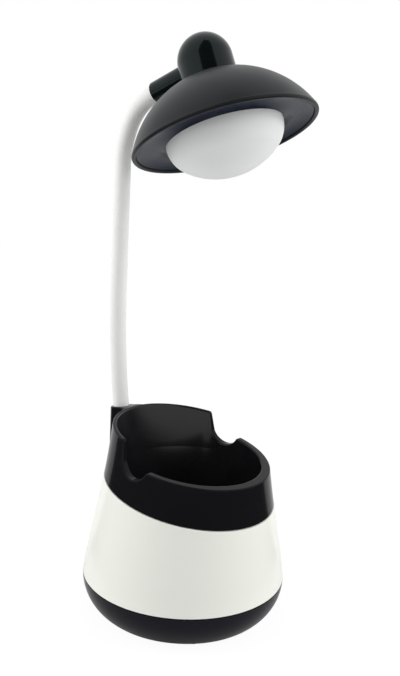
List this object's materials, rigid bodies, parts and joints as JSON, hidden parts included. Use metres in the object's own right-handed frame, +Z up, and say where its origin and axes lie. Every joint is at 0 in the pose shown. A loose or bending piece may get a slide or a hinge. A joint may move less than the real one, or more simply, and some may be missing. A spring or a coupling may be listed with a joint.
{
  "type": "desk lamp with pen holder",
  "caption": "Desk lamp: white bell base with a black slant-rimmed pen cup and phone notches, flexible gooseneck, dished black shade and frosted dome.",
  "frame": {"origin": "floor under the axis of the bell-shaped base, at the underside of the feet", "axes": "+Z up, -Y the way the lamp faces, +Y towards the neck, +X to the side"},
  "size_m": [0.1152, 0.121, 0.3172],
  "materials": {
    "black_gloss": "gloss",
    "shade_gloss": "satin",
    "white_gloss": "gloss",
    "white_silicone": "satin",
    "frosted_white": "satin",
    "foot_rubber": "matte",
    "lead_jacket": "satin",
    "steel": "satin",
    "board_green": "satin",
    "inner_plastic": "matte",
    "cell_can": "satin",
    "board_aluminium": "satin",
    "chip_phosphor": "satin"
  },
  "bodies": {
    "base": {"base_tray": "black_gloss", "rubber_feet": "foot_rubber", "tray_screws": "steel", "counterweight": "steel", "battery_holder": "inner_plastic", "battery_cell": "cell_can", "battery_leads": "lead_jacket", "outer_shell": "white_gloss", "control_board": "board_green", "board_screws": "steel", "charge_socket": "steel", "switch_body": "inner_plastic", "pen_cup": "black_gloss", "neck_ferrule_lower": "steel", "neck_core_root": "steel", "neck_sleeve": "white_silicone", "led_lead": "lead_jacket"},
    "button": {"switch_button": "black_gloss"},
    "neck_1": {"neck_core_1": "steel"},
    "neck_2": {"neck_core_2": "steel"},
    "neck_3": {"neck_core_3": "steel"},
    "neck_4": {"neck_core_4": "steel"},
    "neck_5": {"neck_core_5": "steel"},
    "neck_6": {"neck_core_6": "steel"},
    "neck_7": {"neck_core_7": "steel"},
    "neck_8": {"neck_core_8": "steel"},
    "head": {"neck_core_tip": "steel", "neck_ferrule_upper": "steel", "neck_collar": "black_gloss", "head_cap": "black_gloss", "cap_screws": "steel", "shade": "shade_gloss", "reflector_ring": "shade_gloss", "diffuser": "frosted_white", "led_board": "board_aluminium", "led_chips": "chip_phosphor", "head_screws": "steel"}
  },
  "joints": [
    {"name": "neck_lower_bend", "type": "hinge", "parent": "base", "child": "neck_1", "pos_m": [0, 0.05328, 0.12], "axis": [1, 0, 0], "range_deg": [-10, 10], "deforming": ["neck_sleeve", "led_lead"]},
    {"name": "neck_side_bend", "type": "hinge", "parent": "neck_1", "child": "neck_2", "pos_m": [0, 0.0553, 0.14059], "axis": [0, 0.9971, -0.0767], "range_deg": [-10, 10], "deforming": ["neck_sleeve", "led_lead"]},
    {"name": "neck_lower_bend_2", "type": "hinge", "parent": "neck_2", "child": "neck_3", "pos_m": [0, 0.05646, 0.16125], "axis": [1, 0, 0], "range_deg": [-10, 10], "deforming": ["neck_sleeve", "led_lead"]},
    {"name": "neck_side_bend_2", "type": "hinge", "parent": "neck_3", "child": "neck_4", "pos_m": [0, 0.05676, 0.18194], "axis": [0, 1, 0], "range_deg": [-10, 10], "deforming": ["neck_sleeve", "led_lead"]},
    {"name": "neck_lower_bend_3", "type": "hinge", "parent": "neck_4", "child": "neck_5", "pos_m": [0, 0.05676, 0.20263], "axis": [1, 0, 0], "range_deg": [-10, 10], "deforming": ["neck_sleeve", "led_lead"]},
    {"name": "neck_side_bend_3", "type": "hinge", "parent": "neck_5", "child": "neck_6", "pos_m": [0, 0.05676, 0.22332], "axis": [0, 1, 0], "range_deg": [-10, 10], "deforming": ["neck_sleeve", "led_lead"]},
    {"name": "neck_upper_bend", "type": "hinge", "parent": "neck_6", "child": "neck_7", "pos_m": [0, 0.05676, 0.24401], "axis": [1, 0, 0], "range_deg": [-12, 8], "deforming": ["neck_sleeve", "led_lead"]},
    {"name": "neck_upper_bend_2", "type": "hinge", "parent": "neck_7", "child": "neck_8", "pos_m": [0, 0.0545, 0.26448], "axis": [1, 0, 0], "range_deg": [-12, 8], "deforming": ["neck_sleeve", "led_lead"]},
    {"name": "neck_upper_bend_3", "type": "hinge", "parent": "neck_8", "child": "head", "pos_m": [0, 0.04414, 0.28207], "axis": [1, 0, 0], "range_deg": [-12, 8], "deforming": ["neck_sleeve", "led_lead"]},
    {"name": "button_press", "type": "slide", "parent": "base", "child": "button", "axis": [0, -1, 0], "range_m": [0, 0.0012], "stiffness_N_per_m": 1200}
  ],
  "couplings": [
    {"joint": "neck_lower_bend_2", "follows": "neck_lower_bend", "ratio": 1},
    {"joint": "neck_side_bend_2", "follows": "neck_side_bend", "ratio": 1},
    {"joint": "neck_lower_bend_3", "follows": "neck_lower_bend", "ratio": 1},
    {"joint": "neck_side_bend_3", "follows": "neck_side_bend", "ratio": 1},
    {"joint": "neck_upper_bend_2", "follows": "neck_upper_bend", "ratio": 1},
    {"joint": "neck_upper_bend_3", "follows": "neck_upper_bend", "ratio": 1}
  ]
}
